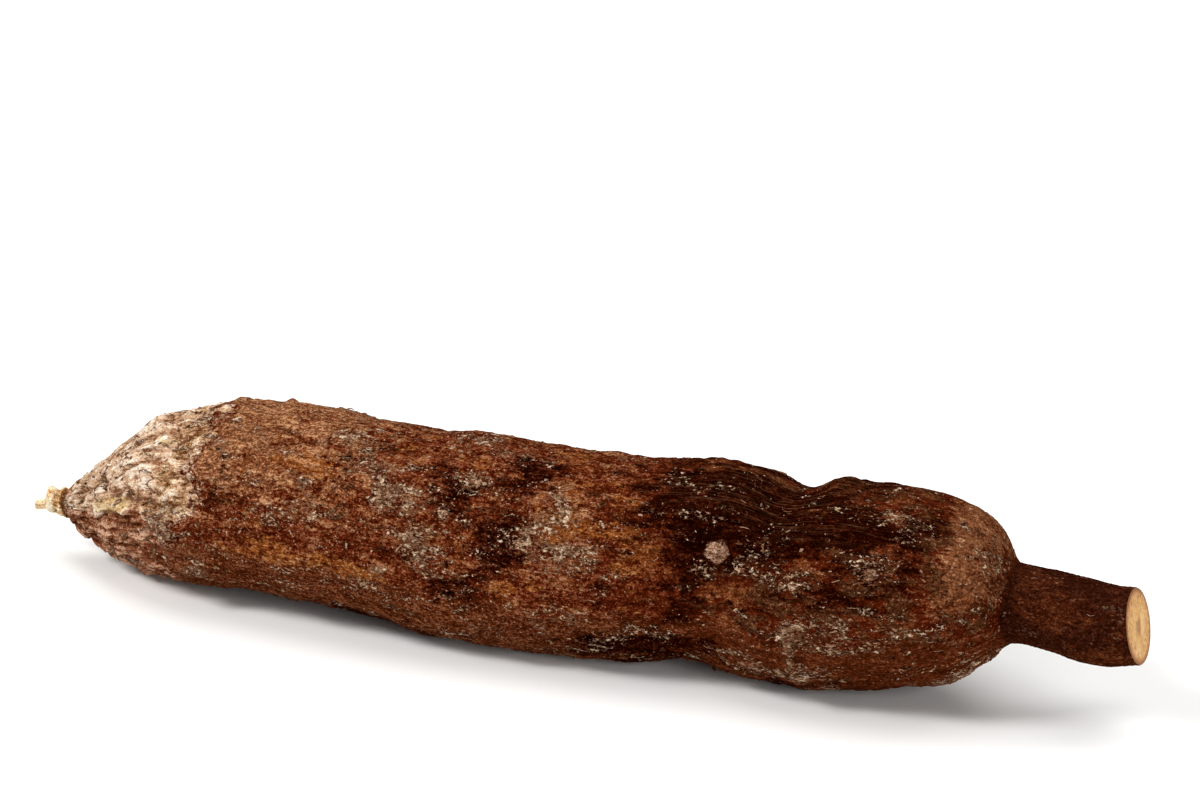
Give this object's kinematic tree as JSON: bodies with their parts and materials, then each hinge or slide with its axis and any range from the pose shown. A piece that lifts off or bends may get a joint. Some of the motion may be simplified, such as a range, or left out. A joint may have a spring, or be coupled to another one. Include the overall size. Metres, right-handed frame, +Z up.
{
  "type": "cassava root",
  "caption": "Whole cassava root with rough brown bark, an oblique waist, a cut stem end and a dried pointed tail, lying on its side.",
  "frame": {"origin": "on the surface that the root lies on, under the centre of its bounding box", "axes": "+X along the root towards the cut stem end, +Y away from the side that is seen first, +Z up"},
  "size_m": [0.3512, 0.0646, 0.0615],
  "materials": {
    "bark": "rough dry root bark, brown with paler cork flecks"
  },
  "bodies": {
    "root": {"cassava_root": "bark"}
  },
  "joints": []
}
